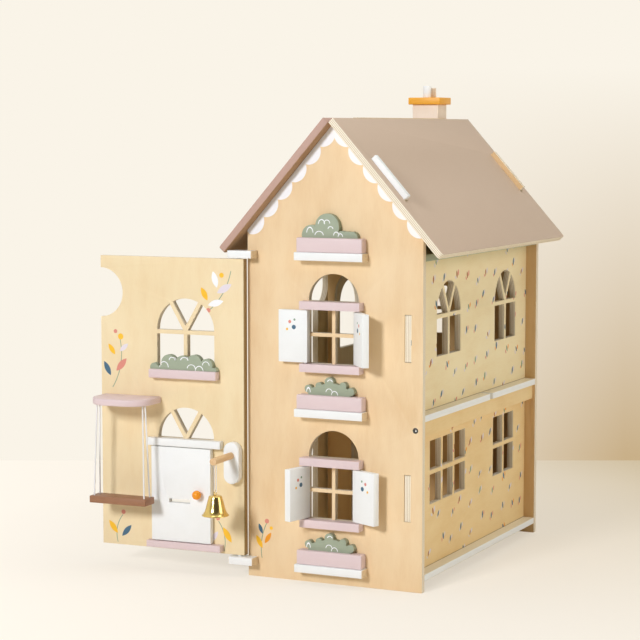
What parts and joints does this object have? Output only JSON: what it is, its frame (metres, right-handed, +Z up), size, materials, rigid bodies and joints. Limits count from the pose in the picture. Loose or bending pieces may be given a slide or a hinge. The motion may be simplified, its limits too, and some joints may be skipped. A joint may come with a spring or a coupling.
{
  "type": "wooden dollhouse",
  "caption": "Tall wooden dollhouse with arched windows, shutters, opening door wings, a hinged roof flap, a swing and a hanging bell.",
  "frame": {"origin": "centre of the foot of the front gable, on the surface that the house stands on", "axes": "+X across the front gable towards the fixed wall, +Y from the front gable to the back one, +Z up"},
  "size_m": [0.507, 0.5614, 0.6693],
  "materials": {
    "natural_board": "clear matt varnish over pale plywood, plies showing on the edges",
    "board": "matt white paint over plywood, edges painted too",
    "sage_board": "matt sage-green paint over plywood",
    "taupe_board": "matt pale taupe paint over plywood",
    "roof_taupe": "matt mauve-taupe paint over plywood",
    "bare_wood": "clear matt varnish over solid pale wood",
    "pink_paint": "matt dusty-pink paint over wood",
    "white_paint": "matt white paint over wood",
    "sage_paint": "matt sage-green paint over wood",
    "orange_paint": "matt amber-orange paint over wood",
    "seat_brown": "chestnut stain over wood",
    "cotton_cord": "twisted white cotton cord",
    "bell_metal": "polished thin brass",
    "bolt_steel": "dark zinc-plated steel",
    "hinge_metal": "brass-plated hinge strip"
  },
  "bodies": {
    "house": {"front_gable": "natural_board", "back_gable": "natural_board", "bottom_floor": "board", "mid_floor_front": "board", "mid_floor_back": "board", "attic_floor": "sage_board", "partition": "taupe_board", "side_wall_lower": "natural_board", "side_wall_upper": "natural_board", "support_rail": "bare_wood", "rail_bolt_front": "bolt_steel", "rail_bolt_back": "bolt_steel", "roof_panel": "roof_taupe", "ridge_leaf_fixed": "hinge_metal", "upper_lintel": "pink_paint", "upper_sill": "pink_paint", "lower_lintel": "pink_paint", "lower_sill": "pink_paint", "flower_box_top": "pink_paint", "flower_box_middle": "pink_paint", "flower_box_bottom": "pink_paint", "box_base_top": "white_paint", "box_base_middle": "white_paint", "box_base_bottom": "white_paint", "bush_top": "sage_paint", "bush_middle": "sage_paint", "bush_bottom": "sage_paint", "hinge_block_front_top": "white_paint", "hinge_block_front_bottom": "white_paint", "hinge_block_back_top": "white_paint", "hinge_block_back_bottom": "white_paint"},
    "roof flap": {"roof_flap": "roof_taupe", "ridge_leaf_moving": "hinge_metal", "chimney_block": "bare_wood", "chimney_cap": "orange_paint", "chimney_pot_front": "white_paint", "chimney_pot_back": "bare_wood"},
    "upper left shutter": {"upper_shutter_left": "white_paint"},
    "upper right shutter": {"upper_shutter_right": "white_paint"},
    "lower left shutter": {"lower_shutter_left": "white_paint"},
    "lower right shutter": {"lower_shutter_right": "white_paint"},
    "front wing": {"front_wing": "natural_board", "wing_planter": "pink_paint", "wing_bush": "sage_paint", "door_lintel": "white_paint", "doorstep": "pink_paint", "bell_plate": "white_paint", "bell_peg": "bare_wood", "swing_canopy": "pink_paint"},
    "front door": {"door_leaf": "white_paint", "door_knob": "orange_paint"},
    "swing": {"swing_seat": "seat_brown", "rope_front_left": "cotton_cord", "rope_front_right": "cotton_cord", "rope_rear_left": "cotton_cord", "rope_rear_right": "cotton_cord"},
    "bell": {"bell_string": "cotton_cord", "bell": "bell_metal"},
    "clapper": {"bell_clapper": "bell_metal"},
    "rear wing": {"rear_wing": "natural_board"}
  },
  "joints": [
    {"name": "roof flap opens", "type": "hinge", "parent": "house", "child": "roof flap", "pos_m": [0, 0.2205, 0.61848], "axis": [0, 1, 0], "range_deg": [0, 95]},
    {"name": "upper left shutter swings", "type": "hinge", "parent": "house", "child": "upper left shutter", "pos_m": [-0.038, -0.0115, 0.33225], "axis": [0, 0, 1], "range_deg": [0, 180]},
    {"name": "upper right shutter swings", "type": "hinge", "parent": "house", "child": "upper right shutter", "pos_m": [0.038, -0.0115, 0.33225], "axis": [0, 0, 1], "range_deg": [-130, 50]},
    {"name": "lower left shutter swings", "type": "hinge", "parent": "house", "child": "lower left shutter", "pos_m": [-0.038, -0.0115, 0.12325], "axis": [0, 0, 1], "range_deg": [-76, 104]},
    {"name": "lower right shutter swings", "type": "hinge", "parent": "house", "child": "lower right shutter", "pos_m": [0.038, -0.0115, 0.12325], "axis": [0, 0, 1], "range_deg": [-155, 25]},
    {"name": "front wing swings", "type": "hinge", "parent": "house", "child": "front wing", "pos_m": [-0.1357, -0.014, 0.231], "axis": [0, 0, 1], "range_deg": [-92.2, 45]},
    {"name": "front door opens", "type": "hinge", "parent": "front wing", "child": "front door", "pos_m": [-0.25773, -0.02869, 0.108], "axis": [0, 0, 1], "range_deg": [-50, 0]},
    {"name": "swing swings", "type": "hinge", "parent": "front wing", "child": "swing", "pos_m": [-0.29299, -0.06157, 0.2316], "axis": [-0.9993, -0.0384, 0], "range_deg": [-1, 20]},
    {"name": "bell swings", "type": "hinge", "parent": "front wing", "child": "bell", "pos_m": [-0.13862, -0.07866, 0.1676], "axis": [-0.0384, 0.9993, 0], "range_deg": [-15, 15]},
    {"name": "clapper swings", "type": "hinge", "parent": "bell", "child": "clapper", "pos_m": [-0.13862, -0.07866, 0.1198], "axis": [-0.0384, 0.9993, 0], "range_deg": [-10, 10]},
    {"name": "rear wing swings", "type": "hinge", "parent": "house", "child": "rear wing", "pos_m": [-0.1357, 0.455, 0.231], "axis": [0, 0, 1], "range_deg": [-150, 0]}
  ]
}
